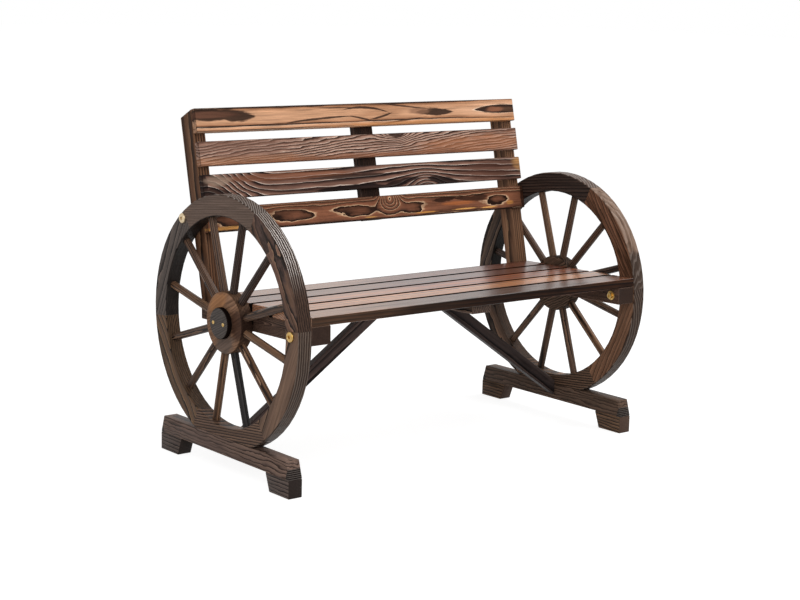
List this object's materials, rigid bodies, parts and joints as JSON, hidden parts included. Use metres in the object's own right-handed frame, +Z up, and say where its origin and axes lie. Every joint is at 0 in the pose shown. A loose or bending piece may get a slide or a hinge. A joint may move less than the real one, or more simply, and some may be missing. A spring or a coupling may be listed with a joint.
{
  "type": "wagon wheel bench",
  "caption": "Rustic slatted garden bench whose seat and leaning back are carried between two spoked wooden wagon wheels standing on footed sills.",
  "frame": {"origin": "on the floor under the middle of the bench, level with the wheel centres front to back", "axes": "+X to the right along the seat as seen from the front, -Y towards the front, +Z up"},
  "size_m": [1.055, 0.56, 0.7897],
  "materials": {
    "slat_wood": "carbonised softwood slats, tan to brown with raised dark grain, satin",
    "frame_wood": "carbonised softwood frame, dark brown, satin",
    "rim_wood": "carbonised softwood rim, grey-brown with brushed grain, satin",
    "spoke_wood": "carbonised softwood dowel, brown to near black, satin",
    "cap_wood": "charred wood, matt",
    "bolt_metal": "yellow zinc-plated steel"
  },
  "bodies": {
    "root": {"left_wheel_felloe_1": "rim_wood", "left_wheel_felloe_2": "rim_wood", "left_wheel_felloe_3": "rim_wood", "left_wheel_felloe_4": "rim_wood", "left_wheel_felloe_5": "rim_wood", "left_wheel_felloe_6": "rim_wood", "left_wheel_spoke_01": "spoke_wood", "left_wheel_spoke_02": "spoke_wood", "left_wheel_spoke_03": "spoke_wood", "left_wheel_spoke_04": "spoke_wood", "left_wheel_spoke_05": "spoke_wood", "left_wheel_spoke_06": "spoke_wood", "left_wheel_spoke_07": "spoke_wood", "left_wheel_spoke_08": "spoke_wood", "left_wheel_spoke_09": "spoke_wood", "left_wheel_spoke_10": "spoke_wood", "left_wheel_spoke_11": "spoke_wood", "left_wheel_spoke_12": "spoke_wood", "left_wheel_hub": "spoke_wood", "left_hub_cap": "cap_wood", "left_sill": "frame_wood", "left_seat_rail": "frame_wood", "left_back_post": "frame_wood", "left_brace": "frame_wood", "right_wheel_felloe_1": "rim_wood", "right_wheel_felloe_2": "rim_wood", "right_wheel_felloe_3": "rim_wood", "right_wheel_felloe_4": "rim_wood", "right_wheel_felloe_5": "rim_wood", "right_wheel_felloe_6": "rim_wood", "right_wheel_spoke_01": "spoke_wood", "right_wheel_spoke_02": "spoke_wood", "right_wheel_spoke_03": "spoke_wood", "right_wheel_spoke_04": "spoke_wood", "right_wheel_spoke_05": "spoke_wood", "right_wheel_spoke_06": "spoke_wood", "right_wheel_spoke_07": "spoke_wood", "right_wheel_spoke_08": "spoke_wood", "right_wheel_spoke_09": "spoke_wood", "right_wheel_spoke_10": "spoke_wood", "right_wheel_spoke_11": "spoke_wood", "right_wheel_spoke_12": "spoke_wood", "right_wheel_hub": "spoke_wood", "right_hub_cap": "cap_wood", "right_sill": "frame_wood", "right_seat_rail": "frame_wood", "right_back_post": "frame_wood", "right_brace": "frame_wood", "seat_slat_1": "slat_wood", "seat_slat_2": "slat_wood", "seat_slat_3": "slat_wood", "seat_slat_4": "slat_wood", "seat_slat_5": "slat_wood", "seat_centre_batten": "frame_wood", "back_slat_1": "slat_wood", "back_slat_2": "slat_wood", "back_slat_3": "slat_wood", "back_slat_4": "slat_wood", "back_centre_batten": "frame_wood"}
  },
  "joints": []
}
